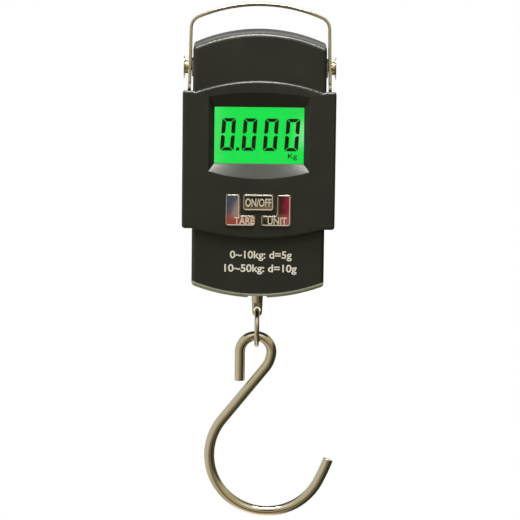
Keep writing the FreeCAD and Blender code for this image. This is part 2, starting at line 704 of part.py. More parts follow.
# ---- build ----------------------------------------------------------------------------
def main():
    outer = outer_form()
    save("handle", make_handle())
    save("pivot_axle", make_axle())
    save("handle_screws", *both_sides(make_side_screw()))
    save("axle_washers", *both_sides(make_axle_washer()))
    save("front_shell", make_front_shell(outer))
    save("rear_shell", make_rear_shell(outer))
    save("battery_cover", make_battery_cover(outer))
    save("lcd_window", make_lcd_window())
    save("lcd_glass", make_lcd_glass())
    save("zebra_strip", make_zebra_strip())
    save("backlight_panel", make_backlight_panel())
    save("backlight_leds", *make_backlight_leds())
    save("circuit_board", make_board())
    save("board_components", *make_board_components())
    save("switch_housings", *make_switch_housings())
    for name in SWITCHES:
        save(f"button_{name}", make_key(name))
        save(f"plunger_{name}", make_plunger(name))
    save("case_screws", *[pan_screw(x, z, 2.6, 1.3, 9.6, 1.8, -9.0) for x, z in CASE_SCREWS])
    save("board_screws", *[pan_screw(x, z, 1.9, 1.0, BOARD_BACK, 1.3, -9.8)
                           for x, z in BOARD_SCREWS])
    save("load_cell", make_load_cell())
    save("strain_gauges", *make_strain_gauges())
    save("load_eye", make_load_eye())
    save("eye_nut", make_eye_nut())
    save("eye_washer", make_eye_washer())
    save("link_ring", make_ring())
    save("s_hook", make_hook())
    save("battery_left", make_battery(-1))
    save("battery_right", make_battery(1))
    save("battery_springs", make_spring(-1), make_spring(1))
    save("battery_contacts", *make_contacts())
    save("battery_wires", *make_battery_wires())
    save("sensor_wires", *make_sensor_wires())


main()
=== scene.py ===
"""Looks of a hanging electronic fish scale.

A steel strap carries a black casing with a lit display and three chrome keys. A ring and an
S hook hang under it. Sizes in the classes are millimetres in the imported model's frame, and
every mesh is made in metres.
"""

import logging
import math
from collections.abc import Callable, Sequence
from dataclasses import dataclass, field
from enum import Enum
from typing import Any

import bmesh
import bpy
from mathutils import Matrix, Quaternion, Vector


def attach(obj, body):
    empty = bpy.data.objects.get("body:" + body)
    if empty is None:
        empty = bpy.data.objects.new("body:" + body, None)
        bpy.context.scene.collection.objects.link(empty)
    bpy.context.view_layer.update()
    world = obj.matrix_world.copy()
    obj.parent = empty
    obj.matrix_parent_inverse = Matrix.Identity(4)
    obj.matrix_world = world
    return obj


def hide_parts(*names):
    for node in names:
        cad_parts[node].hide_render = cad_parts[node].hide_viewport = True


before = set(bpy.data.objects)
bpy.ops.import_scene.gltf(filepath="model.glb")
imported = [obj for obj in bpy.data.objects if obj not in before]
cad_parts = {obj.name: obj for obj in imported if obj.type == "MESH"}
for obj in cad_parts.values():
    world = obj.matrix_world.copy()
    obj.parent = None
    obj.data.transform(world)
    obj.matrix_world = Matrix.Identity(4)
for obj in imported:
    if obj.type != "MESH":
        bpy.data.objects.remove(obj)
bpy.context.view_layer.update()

LOG = logging.getLogger("fish_scale")
MM = 0.001
Point = tuple[float, float]
Colour = tuple[float, float, float]


# ---- node graphs ----------------------------------------------------------------------
class Graph:
    """A short way to fill a node tree."""

    def __init__(self, tree: bpy.types.NodeTree) -> None:
        """Keeps the tree that the nodes go in.

        Args:
            tree: the shader, world or geometry tree.
        """
        self.tree = tree

    def feed(self, socket: bpy.types.NodeSocket, value: Any) -> None:
        """Links a socket to another socket, or sets its constant.

        Args:
            socket: the input.
            value: an output socket or a plain value.
        """
        if isinstance(value, bpy.types.NodeSocket):
            self.tree.links.new(value, socket)
        else:
            socket.default_value = value

    def add(self, kind: str, values: dict | None = None, **settings: Any) -> bpy.types.Node:
        """Adds a node.

        Args:
            kind: the node's type name.
            values: input name or index, and what feeds it.
            **settings: properties of the node.

        Returns:
            The node.
        """
        node = self.tree.nodes.new(kind)
        node.location = (190.0 * len(self.tree.nodes), 0.0)
        for key, value in settings.items():
            setattr(node, key, value)
        for key, value in (values or {}).items():
            self.feed(node.inputs[key], value)
        return node

    def math(self, operation: str, a: Any, b: Any = 0.0, clamp: bool = False) -> Any:
        """Returns the result socket of a Math node with inputs a and b."""
        return self.add("ShaderNodeMath", {0: a, 1: b}, operation=operation,
                        use_clamp=clamp).outputs[0]

    def ramp(self, value: Any, low: Any, high: Any, to: Point = (0.0, 1.0)) -> Any:
        """Returns a smooth step of a value.

        Args:
            value: the socket to map.
            low: the number or socket that gives the first output.
            high: the number or socket that gives the second output.
            to: the two outputs.

        Returns:
            The result socket.
        """
        return self.add("ShaderNodeMapRange", {"Value": value, "From Min": low,
                        "From Max": high, "To Min": to[0], "To Max": to[1]},
                        interpolation_type="SMOOTHSTEP").outputs["Result"]

    def mix(self, factor: Any, a: Any, b: Any, blend: str = "MIX") -> Any:
        """Returns the colour between a and b."""
        a, b = (v if isinstance(v, bpy.types.NodeSocket) else (*v, 1.0) for v in (a, b))
        return self.add("ShaderNodeMix", {0: factor, 6: a, 7: b}, data_type="RGBA",
                        blend_type=blend).outputs[2]

    def noise(self, vector: Any, scale: Any, detail: float = 2.0, rough: float = 0.5) -> Any:
        """Returns the factor of a noise texture on the given coordinates."""
        return self.add("ShaderNodeTexNoise", {"Vector": vector, "Scale": scale,
                        "Detail": detail, "Roughness": rough}).outputs[0]

    def place(self) -> Any:
        """Returns the piece's own coordinates, in metres."""
        return self.add("ShaderNodeTexCoord").outputs["Object"]

    def axes(self) -> Sequence[Any]:
        """Returns the piece's own X, Y and Z as three sockets."""
        return self.add("ShaderNodeSeparateXYZ", {0: self.place()}).outputs


def effect(name: str, inputs: dict[str, Any], outputs: Sequence[str],
           fill: Callable[[Graph, Any], dict[str, Any]]) -> bpy.types.NodeTree:
    """Builds a shared shader effect once.

    Args:
        name: the group's name.
        inputs: input names with their defaults, a number or three of them.
        outputs: the names of the values it gives.
        fill: adds the nodes and returns the socket for each output.

    Returns:
        The node group.
    """
    tree = bpy.data.node_groups.get(name)
    if tree:
        return tree
    tree = bpy.data.node_groups.new(name, "ShaderNodeTree")
    for key, value in inputs.items():
        kind = "NodeSocketFloat" if isinstance(value, float) else "NodeSocketVector"
        tree.interface.new_socket(key, in_out="INPUT", socket_type=kind).default_value = value
    for key in outputs:
        kind = "NodeSocketColor" if key == "Colour" else "NodeSocketFloat"
        tree.interface.new_socket(key, in_out="OUTPUT", socket_type=kind)
    graph = Graph(tree)
    given = graph.add("NodeGroupInput").outputs
    result = graph.add("NodeGroupOutput")
    for key, socket in fill(graph, given).items():
        graph.feed(result.inputs[key], socket)
    return tree


def moulded_grain() -> bpy.types.NodeTree:
    """Returns the fine spark-eroded grain of a moulding, with its slow sink marks."""
    def fill(g: Graph, given: Any) -> dict[str, Any]:
        at = g.place()
        fine = g.noise(at, given["Scale"], 3.0, 0.6)
        slow = g.noise(at, 55.0, 1.0)
        height = g.math("ADD", g.math("MULTIPLY", fine, given["Depth"]),
                        g.math("MULTIPLY", slow, given["Sink"]))
        return {"Height": height, "Fleck": g.ramp(fine, 0.60, 0.78), "Patch": slow}

    return effect("moulded grain", {"Scale": 3200.0, "Depth": 0.2, "Sink": 0.5},
                  ("Height", "Fleck", "Patch"), fill)


def fine_scratches() -> bpy.types.NodeTree:
    """Returns hairline marks, drawn out along the axis with the smallest stretch."""
    def fill(g: Graph, given: Any) -> dict[str, Any]:
        at = g.add("ShaderNodeMapping", {"Vector": g.place(), "Scale": given["Stretch"]})
        lines = g.noise(at.outputs[0], 1.0, 5.0, 0.65)
        where = g.noise(g.place(), 130.0, 2.0)
        mask = g.math("MULTIPLY", g.ramp(lines, given["Threshold"], 0.8),
                      g.ramp(where, 0.42, 0.62))
        return {"Mask": mask, "Lines": lines}

    return effect("fine scratches", {"Stretch": (6000.0, 6000.0, 250.0), "Threshold": 0.56},
                  ("Mask", "Lines"), fill)


def handling_film() -> bpy.types.NodeTree:
    """Returns the soft patches that fingers and dust leave."""
    def fill(g: Graph, given: Any) -> dict[str, Any]:
        patches = g.noise(g.place(), given["Scale"], 4.0, 0.6)
        motes = g.noise(g.place(), 4200.0, 1.0)
        film = g.math("MULTIPLY", g.ramp(patches, 0.46, 0.72), given["Amount"])
        return {"Film": film, "Motes": g.math("MULTIPLY", g.ramp(motes, 0.72, 0.8), film)}

    return effect("handling film", {"Scale": 70.0, "Amount": 1.0}, ("Film", "Motes"), fill)


def painted_floor_reflection() -> bpy.types.NodeTree:
    """Returns where a painted reflection of the pale floor lightens the rounded front edge of
    the crowned lower end.
    """
    def fill(g: Graph, given: Any) -> dict[str, Any]:
        x, y, z = g.axes()
        down = g.math("SUBTRACT", given["Centre"], z)
        away = g.math("SQRT", g.math("ADD", g.math("MULTIPLY", x, x),
                                     g.math("MULTIPLY", down, down)))
        edge = g.math("SUBTRACT", given["Radius"], away)
        full = g.math("MULTIPLY", given["Reach"], 0.7)
        front = g.ramp(y, -0.0098, -0.0106)
        low = g.ramp(down, 0.078, 0.080)
        band = g.math("MULTIPLY", g.ramp(edge, given["Reach"], full), front)
        patchy = g.ramp(g.noise(g.place(), 160.0, 3.0, 0.6), 0.2, 0.6, (0.75, 1.0))
        return {"Mask": g.math("MULTIPLY", g.math("MULTIPLY", band, patchy), low)}

    return effect("rubbed foot", {"Centre": -0.0526, "Radius": 0.0878, "Reach": 0.0025},
                  ("Mask",), fill)


def parting_groove() -> bpy.types.NodeTree:
    """Returns the hairline where two half shells meet, at a level of Y."""
    def fill(g: Graph, given: Any) -> dict[str, Any]:
        away = g.math("ABSOLUTE", g.math("SUBTRACT", g.axes()[1], given["Level"]))
        return {"Depth": g.ramp(away, 0.0, given["Width"], (1.0, 0.0))}

    return effect("parting groove", {"Level": 0.0, "Width": 0.00022}, ("Depth",), fill)


def room_light() -> bpy.types.NodeTree:
    """Returns the light that comes from each direction of the room.

    Warm in front, pale at the left and above, white behind and below, brown below the
    front, and dark towards the lower right and over the back.
    """
    def fill(g: Graph, given: Any) -> dict[str, Any]:
        def towards(axis: Sequence[float], wide: float, narrow: float) -> Any:
            along = g.add("ShaderNodeVectorMath", {0: way, 1: axis}, operation="DOT_PRODUCT")
            return g.ramp(along.outputs["Value"], wide, narrow)

        way = g.add("ShaderNodeVectorMath", {0: given["Way"]}, operation="NORMALIZE").outputs[0]
        lobes = (((-1.0, 0.0, 0.1), 0.2, 0.9, (0.60, 0.58, 0.46)),
                 ((0.0, -0.6, 0.8), 0.80, 0.97, (0.95, 0.92, 0.80)),
                 ((0.0, 0.25, -0.97), 0.88, 0.98, (1.3, 1.25, 1.05)),
                 ((0.0, -0.85, -0.53), 0.90, 0.98, (0.17, 0.11, 0.065)),
                 ((0.50, -0.85, -0.20), 0.93, 0.985, (0.20, 0.13, 0.075)),
                 ((0.86, 0.0, -0.51), 0.50, 0.74, (0.035, 0.045, 0.025)),
                 ((0.0, 0.62, 0.78), 0.62, 0.86, (0.10, 0.10, 0.07)),
                 ((0.0, 0.995, 0.07), 0.88, 0.965, (1.0, 1.0, 0.98)))
        colour = (0.47, 0.41, 0.26)
        for axis, wide, narrow, light in lobes:
            colour = g.mix(towards(axis, wide, narrow), colour, light)
        return {"Colour": colour}

    return effect("room light", {"Way": (0.0, 0.0, 1.0)}, ("Colour",), fill)


# ---- finishes -------------------------------------------------------------------------
class Surface(Enum):
    """How a finish is made."""

    MOULDED = "moulded plastic"
    METAL = "bare or plated metal"
    INK = "printed or coated film"
    BOARD = "circuit board"
    SLEEVE = "printed battery sleeve"
    LIT = "backlit liquid crystal"
    CLEAR = "clear pane"


@dataclass(frozen=True)
class Finish:
    """One finish, made as a material on first use."""

    name: str
    surface: Surface
    colour: Colour
    shade: Colour
    roughness: float = 0.45
    grain: float = 3200.0
    depth: float = 0.2
    sink: float = 0.5
    stretch: tuple[float, float, float] = (6000.0, 6000.0, 250.0)
    scratch: float = 0.5
    film: float = 0.5
    seam: bool = False
    # foot: whether the rounded lower front edge gets a painted reflection of the pale floor
    foot: bool = False
    coat: float = 0.0
    wave: float = 0.0

    def material(self) -> bpy.types.Material:
        """Returns the finish's material."""
        made = bpy.data.materials.get(self.name)
        if made:
            return made
        made = bpy.data.materials.new(self.name)
        made.use_nodes = True
        g = Graph(made.node_tree)
        body = made.node_tree.nodes["Principled BSDF"]
        body.inputs["Base Color"].default_value = (*self.colour, 1.0)
        body.inputs["Roughness"].default_value = self.roughness
        fill = {Surface.MOULDED: self.moulded, Surface.METAL: self.metal,
                Surface.INK: self.moulded, Surface.BOARD: self.board,
                Surface.SLEEVE: self.sleeve, Surface.LIT: self.lit,
                Surface.CLEAR: self.clear}[self.surface]
        fill(g, body)
        return made

    def group(self, g: Graph, tree: bpy.types.NodeTree, values: dict) -> Any:
        """Places a shared effect in this material.

        Args:
            g: the material's graph.
            tree: the effect.
            values: its input values.

        Returns:
            The outputs of the placed group.
        """
        node = g.add("ShaderNodeGroup", node_tree=tree)
        for key, value in values.items():
            g.feed(node.inputs[key], value)
        return node.outputs

    def bump(self, g: Graph, body: bpy.types.Node, height: Any, distance: float) -> None:
        """Feeds a height to the surface's normal, over a distance in metres."""
        node = g.add("ShaderNodeBump", {"Height": height, "Distance": distance,
                                        "Strength": 1.0})
        g.feed(body.inputs["Normal"], node.outputs[0])

    def moulded(self, g: Graph, body: bpy.types.Node) -> None:
        """Grained plastic, rubber or film with handling marks."""
        grain = self.group(g, moulded_grain(), {"Scale": self.grain, "Depth": self.depth,
                                                "Sink": self.sink})
        film = self.group(g, handling_film(), {"Amount": self.film})
        marks = self.group(g, fine_scratches(), {"Stretch": self.stretch})
        scratch = g.math("MULTIPLY", marks["Mask"], self.scratch)
        colour = g.mix(grain["Patch"], self.colour, self.shade)
        colour = g.mix(g.math("MULTIPLY", film["Film"], 0.35), colour, self.shade)
        pale = tuple(min(1.0, c * 1.8 + 0.03) for c in self.shade)
        worn = g.math("ADD", g.math("MULTIPLY", scratch, 0.4), film["Motes"])
        colour = g.mix(worn, colour, pale)
        # painted reflection of the pale floor: the rounded lower front edge is mixed towards
        # pale grey
        if self.foot:
            foot = self.group(g, painted_floor_reflection(), {})
            colour = g.mix(foot["Mask"], colour, (0.27, 0.28, 0.23))
        height = g.math("SUBTRACT", grain["Height"], g.math("MULTIPLY", scratch, 0.3))
        if self.seam:
            groove = self.group(g, parting_groove(), {})
            colour = g.mix(g.math("MULTIPLY", groove["Depth"], 0.8), colour, (0.0, 0.0, 0.0))
            height = g.math("SUBTRACT", height, g.math("MULTIPLY", groove["Depth"], 3.0))
        g.feed(body.inputs["Base Color"], colour)
        rough = g.math("ADD", self.roughness, g.math("MULTIPLY", film["Film"], 0.10))
        rough = g.math("SUBTRACT", rough, g.math("MULTIPLY", grain["Fleck"], 0.06))
        g.feed(body.inputs["Roughness"], rough)
        body.inputs["Coat Weight"].default_value = self.coat
        body.inputs["Coat Roughness"].default_value = 0.2
        self.bump(g, body, height, 4e-5)

    def metal(self, g: Graph, body: bpy.types.Node) -> None:
        """Metal with drawn-out lines, tarnish patches and, if wave is set, an uneven plate."""
        body.inputs["Metallic"].default_value = 1.0
        marks = self.group(g, fine_scratches(), {"Stretch": self.stretch})
        film = self.group(g, handling_film(), {"Amount": self.film, "Scale": 110.0})
        tone = g.math("ADD", g.math("MULTIPLY", marks["Lines"], 0.35), film["Film"])
        colour = g.mix(g.math("MULTIPLY", tone, 0.8, clamp=True), self.colour, self.shade)
        g.feed(body.inputs["Base Color"], colour)
        rough = g.math("ADD", self.roughness, g.math("MULTIPLY", film["Film"], 0.08))
        rough = g.math("ADD", rough, g.math("MULTIPLY", marks["Mask"], 0.25 * self.scratch))
        g.feed(body.inputs["Roughness"], rough)
        height = g.math("MULTIPLY", marks["Lines"], 0.15 * self.scratch)
        if self.wave:
            slow = g.noise(g.place(), 210.0, 1.0)
            height = g.math("ADD", height, g.math("MULTIPLY", slow, self.wave))
        self.bump(g, body, height, 4e-5)

    def board(self, g: Graph, body: bpy.types.Node) -> None:
        """Green resist over copper tracks, with tinned pads."""
        flat = g.add("ShaderNodeMapping", {"Vector": g.place(), "Rotation": (
            math.pi / 2, 0.0, 0.0)}).outputs[0]
        tracks = g.add("ShaderNodeTexBrick", {"Vector": flat, "Scale": 190.0,
                                              "Mortar Size": 0.05, "Color1": (0, 0, 0, 1),
                                              "Color2": (0, 0, 0, 1), "Mortar": (1, 1, 1, 1)})
        pads = g.add("ShaderNodeTexVoronoi", {"Vector": flat, "Scale": 260.0})
        dots = g.ramp(pads.outputs["Distance"], 0.10, 0.16, (1.0, 0.0))
        line = g.add("ShaderNodeRGBToBW", {0: tracks.outputs["Color"]}).outputs[0]
        colour = g.mix(line, self.colour, self.shade)
        g.feed(body.inputs["Base Color"], g.mix(dots, colour, (0.55, 0.55, 0.52)))
        g.feed(body.inputs["Roughness"], g.math("SUBTRACT", self.roughness,
                                                g.math("MULTIPLY", dots, 0.1)))
        g.feed(body.inputs["Metallic"], dots)
        self.bump(g, body, g.math("ADD", line, dots), 3e-5)

    def sleeve(self, g: Graph, body: bpy.types.Node) -> None:
        """Battery wrap: dark with a warm band at one end and bare metal rims."""
        height = g.axes()[2]
        band = g.ramp(height, -0.0884, -0.0880)
        top_rim = g.ramp(height, -0.0772, -0.0770)
        low_rim = g.ramp(height, -0.1220, -0.1217, (1.0, 0.0))
        rims = g.math("ADD", top_rim, low_rim, clamp=True)
        colour = g.mix(band, self.colour, self.shade)
        film = self.group(g, handling_film(), {"Amount": self.film})
        g.feed(body.inputs["Base Color"], g.mix(rims, colour, (0.62, 0.62, 0.60)))
        g.feed(body.inputs["Metallic"], rims)
        g.feed(body.inputs["Roughness"], g.math("ADD", self.roughness,
                                                g.math("MULTIPLY", film["Film"], 0.1)))
        grain = self.group(g, moulded_grain(), {"Scale": self.grain, "Depth": self.depth})
        self.bump(g, body, grain["Height"], 2e-5)

    def lit(self, g: Graph, body: bpy.types.Node) -> None:
        """Backlit green face, paler near the lamps and at its left end, and dimmer at its upper
        right.
        """
        x, _, z = g.axes()
        off_middle = g.math("ABSOLUTE", g.math("ADD", z, 0.0606))
        lamp = g.math("MULTIPLY", g.ramp(x, 0.0145, 0.0222),
                      g.ramp(off_middle, 0.002, 0.0095, (1.0, 0.0)))
        left = g.math("MULTIPLY", g.ramp(x, -0.0215, -0.0150, (1.0, 0.0)), 0.16)
        cloud = g.noise(g.place(), 85.0, 3.0)
        dull = g.math("MULTIPLY", g.ramp(x, 0.008, 0.021), g.ramp(z, -0.053, -0.048))
        colour = g.mix(g.math("MULTIPLY", cloud, 0.55), self.colour, self.shade)
        colour = g.mix(g.math("MULTIPLY", dull, 0.35), colour, (0.06, 0.52, 0.11))
        colour = g.mix(g.math("ADD", g.math("MULTIPLY", lamp, 0.62), left), colour,
                       (0.32, 0.90, 0.42))
        body.inputs["Base Color"].default_value = (0.004, 0.03, 0.008, 1.0)
        body.inputs["Emission Strength"].default_value = 1.0
        g.feed(body.inputs["Emission Color"], colour)
        film = self.group(g, handling_film(), {"Amount": self.film})
        g.feed(body.inputs["Roughness"], g.math("ADD", self.roughness, film["Film"]))

    def clear(self, g: Graph, body: bpy.types.Node) -> None:
        """Clear cast acrylic."""
        body.inputs["Transmission Weight"].default_value = 1.0
        body.inputs["IOR"].default_value = 1.45
        film = self.group(g, handling_film(), {"Amount": self.film})
        g.feed(body.inputs["Roughness"], g.math("ADD", self.roughness,
                                                g.math("MULTIPLY", film["Film"], 0.03)))


BLACK, DARK = (0.0068, 0.0078, 0.0068), (0.011, 0.012, 0.010)
DRAWN_X, DRAWN_Z = (250.0, 7000.0, 7000.0), (7000.0, 7000.0, 250.0)


class Finishes(Enum):
    """Every finish of the scale, one for each material slot of the record."""

    strap_steel = Finish("strap steel", Surface.METAL, (0.90, 0.88, 0.77), (0.68, 0.64, 0.50),
                         0.13, stretch=DRAWN_X, scratch=0.3, film=0.35)
    screw_steel = Finish("side screw steel", Surface.METAL, (0.62, 0.55, 0.36),
                         (0.40, 0.34, 0.20), 0.24, scratch=0.2, film=0.5)
    axle_steel = Finish("axle steel", Surface.METAL, (0.62, 0.61, 0.58), (0.42, 0.41, 0.38),
                        0.3, stretch=DRAWN_X)
    nylon = Finish("natural nylon", Surface.MOULDED, (0.62, 0.60, 0.52), (0.50, 0.48, 0.40),
                   0.5)
    shell_black = Finish("front shell black", Surface.MOULDED, BLACK, DARK, 0.40, grain=2600.0,
                         depth=0.16, seam=True, foot=True)
    rear_black = Finish("rear shell black", Surface.MOULDED, BLACK, DARK, 0.46, grain=2000.0,
                        depth=0.3, seam=True)
    cover_black = Finish("battery cover black", Surface.MOULDED, BLACK, DARK, 0.43,
                         grain=2200.0, depth=0.26)
    clear_window = Finish("clear window", Surface.CLEAR, (0.97, 1.0, 0.97), (1.0, 1.0, 1.0),
                          0.02, film=0.4)
    lcd_green = Finish("lit green display", Surface.LIT, (0.004, 0.76, 0.070),
                       (0.012, 0.83, 0.105), 0.25, film=0.1)
    zebra_rubber = Finish("zebra rubber", Surface.MOULDED, (0.30, 0.10, 0.10),
                          (0.12, 0.10, 0.10), 0.65)
    backlight_white = Finish("backlight diffuser", Surface.MOULDED, (0.80, 0.82, 0.78),
                             (0.70, 0.74, 0.68), 0.35, depth=0.1)
    led_body = Finish("lamp body", Surface.MOULDED, (0.75, 0.74, 0.55), (0.62, 0.60, 0.40),
                      0.3, depth=0.1)
    board_green = Finish("board green", Surface.BOARD, (0.010, 0.095, 0.035),
                         (0.030, 0.190, 0.070), 0.32)
    component_black = Finish("component black", Surface.MOULDED, (0.018, 0.018, 0.018),
                             (0.035, 0.035, 0.035), 0.38)
    switch_black = Finish("switch black", Surface.MOULDED, (0.02, 0.02, 0.022),
                          (0.04, 0.04, 0.045), 0.4)
    plunger_white = Finish("plunger white", Surface.MOULDED, (0.70, 0.70, 0.66),
                           (0.60, 0.60, 0.56), 0.45)
    zinc_screw = Finish("zinc screw", Surface.METAL, (0.60, 0.60, 0.58), (0.38, 0.38, 0.36),
                        0.28, film=0.8)
    zinc_nut = Finish("zinc nut", Surface.METAL, (0.62, 0.60, 0.52), (0.42, 0.40, 0.32), 0.3)
    cell_aluminium = Finish("milled aluminium", Surface.METAL, (0.78, 0.78, 0.77),
                            (0.60, 0.60, 0.60), 0.3, stretch=DRAWN_X)
    gauge_film = Finish("gauge film", Surface.INK, (0.48, 0.24, 0.05), (0.62, 0.36, 0.12),
                        0.35, coat=0.5)
    battery_sleeve = Finish("battery sleeve", Surface.SLEEVE, (0.012, 0.012, 0.014),
                            (0.52, 0.26, 0.05), 0.25)
    contact_nickel = Finish("contact nickel", Surface.METAL, (0.70, 0.68, 0.62),
                            (0.52, 0.50, 0.42), 0.22)
    wire_red = Finish("red wire", Surface.MOULDED, (0.50, 0.015, 0.012), (0.38, 0.01, 0.01),
                      0.4)
    wire_white = Finish("white wire", Surface.MOULDED, (0.70, 0.69, 0.66), (0.58, 0.57, 0.52),
                        0.4)
    key_chrome = Finish("key chrome", Surface.METAL, (0.80, 0.78, 0.74), (0.66, 0.62, 0.55),
                        0.05, scratch=0.0, film=0.2, wave=0.12)
    eye_nickel = Finish("eye nickel", Surface.METAL, (0.76, 0.71, 0.60), (0.55, 0.50, 0.38),
                        0.14, scratch=0.5)
    ring_nickel = Finish("ring nickel", Surface.METAL, (0.74, 0.70, 0.62), (0.50, 0.45, 0.36),
                         0.12, scratch=0.4)
    hook_nickel = Finish("hook nickel", Surface.METAL, (0.80, 0.76, 0.68), (0.60, 0.55, 0.45),
                         0.10, stretch=(2600.0, 2600.0, 900.0), scratch=0.2, film=0.35)


PRINT = Finish("white print", Surface.INK, (0.94, 0.94, 0.91), (0.88, 0.88, 0.85), 0.5,
               depth=0.05, sink=0.0, scratch=0.2)
CRYSTAL = Finish("dark crystal", Surface.INK, (0.002, 0.010, 0.003), (0.003, 0.014, 0.005),
                 0.4, depth=0.05, sink=0.0, scratch=0.0, film=0.1)
LABEL = Finish("raised label silver", Surface.INK, (0.74, 0.72, 0.64), (0.62, 0.60, 0.52), 0.35,
               depth=0.05, sink=0.0, scratch=0.3, film=0.3)


# ---- geometry trees -------------------------------------------------------------------
def geometry_tree(name: str, inputs: dict[str, str],
                  fill: Callable[[Graph, Any], Any]) -> bpy.types.NodeTree:
    """Builds a Geometry Nodes tree that ends in plain geometry with its material.

    Args:
        name: the tree's name.
        inputs: socket types by input name, besides Geometry and Material.
        fill: adds the nodes and returns the geometry socket.

    Returns:
        The tree.
    """
    tree = bpy.data.node_groups.get(name)
    if tree:
        return tree
    tree = bpy.data.node_groups.new(name, "GeometryNodeTree")
    sockets = {"Geometry": "NodeSocketGeometry", **inputs, "Material": "NodeSocketMaterial"}
    for key, kind in sockets.items():
        tree.interface.new_socket(key, in_out="INPUT", socket_type=kind)
    tree.interface.new_socket("Geometry", in_out="OUTPUT", socket_type="NodeSocketGeometry")
    g = Graph(tree)
    given = g.add("NodeGroupInput").outputs
    real = g.add("GeometryNodeRealizeInstances", {0: fill(g, given)}).outputs[0]
    dressed = g.add("GeometryNodeSetMaterial", {"Geometry": real,
                                                "Material": given["Material"]}).outputs[0]
    g.feed(g.add("NodeGroupOutput").inputs[0], dressed)
    return tree


def sweep_tree() -> bpy.types.NodeTree:
    """Returns the tree that gives a path of edges a round section."""
    def fill(g: Graph, given: Any) -> Any:
        path = g.add("GeometryNodeMeshToCurve", {0: given["Geometry"]}).outputs[0]
        section = g.add("GeometryNodeCurvePrimitiveCircle", {
            "Resolution": given["Sides"], "Radius": given["Radius"]}).outputs[0]
        girth = g.add("GeometryNodeInputNamedAttribute", {"Name": "girth"},
                      data_type="FLOAT").outputs[0]
        bar = g.add("GeometryNodeCurveToMesh", {"Curve": path, "Profile Curve": section,
                                                "Scale": girth, "Fill Caps": True}).outputs[0]
        return g.add("GeometryNodeSetShadeSmooth", {0: bar}).outputs[0]

    return geometry_tree("sweep", {"Sides": "NodeSocketInt", "Radius": "NodeSocketFloat"}, fill)


def row_tree() -> bpy.types.NodeTree:
    """Returns the tree that repeats a shape in a straight row, each a little smaller."""
    def fill(g: Graph, given: Any) -> Any:
        line = g.add("GeometryNodeMeshLine", {"Count": given["Count"],
                                              "Offset": given["Offset"]}).outputs[0]
        index = g.add("GeometryNodeInputIndex").outputs[0]
        taper = g.math("SUBTRACT", 1.0, g.math("MULTIPLY", index, given["Taper"]))
        size = g.add("ShaderNodeCombineXYZ", {0: taper, 1: 1.0, 2: 1.0}).outputs[0]
        return g.add("GeometryNodeInstanceOnPoints", {
            "Points": line, "Instance": given["Geometry"], "Scale": size}).outputs[0]

    return geometry_tree("row", {"Count": "NodeSocketInt", "Offset": "NodeSocketVector",
                                 "Taper": "NodeSocketFloat"}, fill)


def run_tree(mesh: bpy.types.Mesh, tree: bpy.types.NodeTree,
             values: dict[str, Any]) -> bpy.types.Mesh:
    """Runs a geometry tree on a mesh.

    Args:
        mesh: the mesh that goes in.
        tree: the tree.
        values: its named inputs.

    Returns:
        The plain mesh that comes out.
    """
    carrier = bpy.data.objects.new("carrier", mesh)
    bpy.context.scene.collection.objects.link(carrier)
    modifier = carrier.modifiers.new("tree", "NODES")
    modifier.node_group = tree
    for item in tree.interface.items_tree:
        if item.in_out == "INPUT" and item.name in values:
            modifier[item.identifier] = values[item.name]
    return plain_mesh(carrier)


def plain_mesh(carrier: bpy.types.Object) -> bpy.types.Mesh:
    """Returns the evaluated mesh of a helper object, which is removed."""
    bpy.context.view_layer.update()
    graph = bpy.context.evaluated_depsgraph_get()
    mesh = bpy.data.meshes.new_from_object(carrier.evaluated_get(graph), depsgraph=graph)
    carrier.modifiers.clear()
    bpy.data.objects.remove(carrier)
    return mesh


# ---- meshes ---------------------------------------------------------------------------
def tidy(mesh: bpy.types.Mesh, angle: float = 28.0, outward: bool = True) -> bpy.types.Mesh:
    """Merges doubles and sets smooth shading with crisp edges.

    Args:
        mesh: the mesh, changed in place.
        angle: edges sharper than this many degrees stay crisp.
        outward: whether the faces are turned outwards first.

    Returns:
        The same mesh.
    """
    work = bmesh.new()
    work.from_mesh(mesh)
    bmesh.ops.remove_doubles(work, verts=work.verts, dist=1.5e-6)
    bmesh.ops.dissolve_degenerate(work, edges=work.edges, dist=1e-7)
    if outward:
        bmesh.ops.recalc_face_normals(work, faces=work.faces)
    work.to_mesh(mesh)
    work.free()
    mesh.shade_smooth()
    mesh.set_sharp_from_angle(angle=math.radians(angle))
    return mesh


def evened(mesh: bpy.types.Mesh) -> bpy.types.Mesh:
    """Returns the mesh with its flat faces shading flat beside their rounded edges."""
    carrier = bpy.data.objects.new("carrier", mesh)
    bpy.context.scene.collection.objects.link(carrier)
    weigh = carrier.modifiers.new("weigh", "WEIGHTED_NORMAL")
    weigh.keep_sharp = True
    weigh.weight = 100
    return plain_mesh(carrier)


def copy_of(node: str) -> bpy.types.Mesh:
    """Returns a merged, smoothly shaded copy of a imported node's mesh."""
    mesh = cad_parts[node].data.copy()
    mesh.materials.clear()
    for name in ("custom_normal", "sharp_face", "sharp_edge"):
        if name in mesh.attributes:
            mesh.attributes.remove(mesh.attributes[name])
    return evened(tidy(mesh, outward=False))


def mesh_of(name: str, points: Sequence[Sequence[float]], edges: Sequence[Sequence[int]] = (),
            faces: Sequence[Sequence[int]] = ()) -> bpy.types.Mesh:
    """Returns a mesh of points given in millimetres."""
    mesh = bpy.data.meshes.new(name)
    mesh.from_pydata([Vector(p) * MM for p in points], list(edges), list(faces))
    return mesh


def loft(rings: Sequence[Sequence[Sequence[float]]]) -> tuple[list, list]:
    """Joins rings of equal length into a closed skin.

    Args:
        rings: each a loop of points in millimetres; the first and last are capped.

    Returns:
        The points and the faces.
    """
    n = len(rings[0])
    points = [p for ring in rings for p in ring]
    faces = [(r * n + i, r * n + (i + 1) % n, (r + 1) * n + (i + 1) % n, (r + 1) * n + i)
             for r in range(len(rings) - 1) for i in range(n)]
    faces += [tuple(range(n))[::-1], tuple(range((len(rings) - 1) * n, len(rings) * n))]
    return points, faces


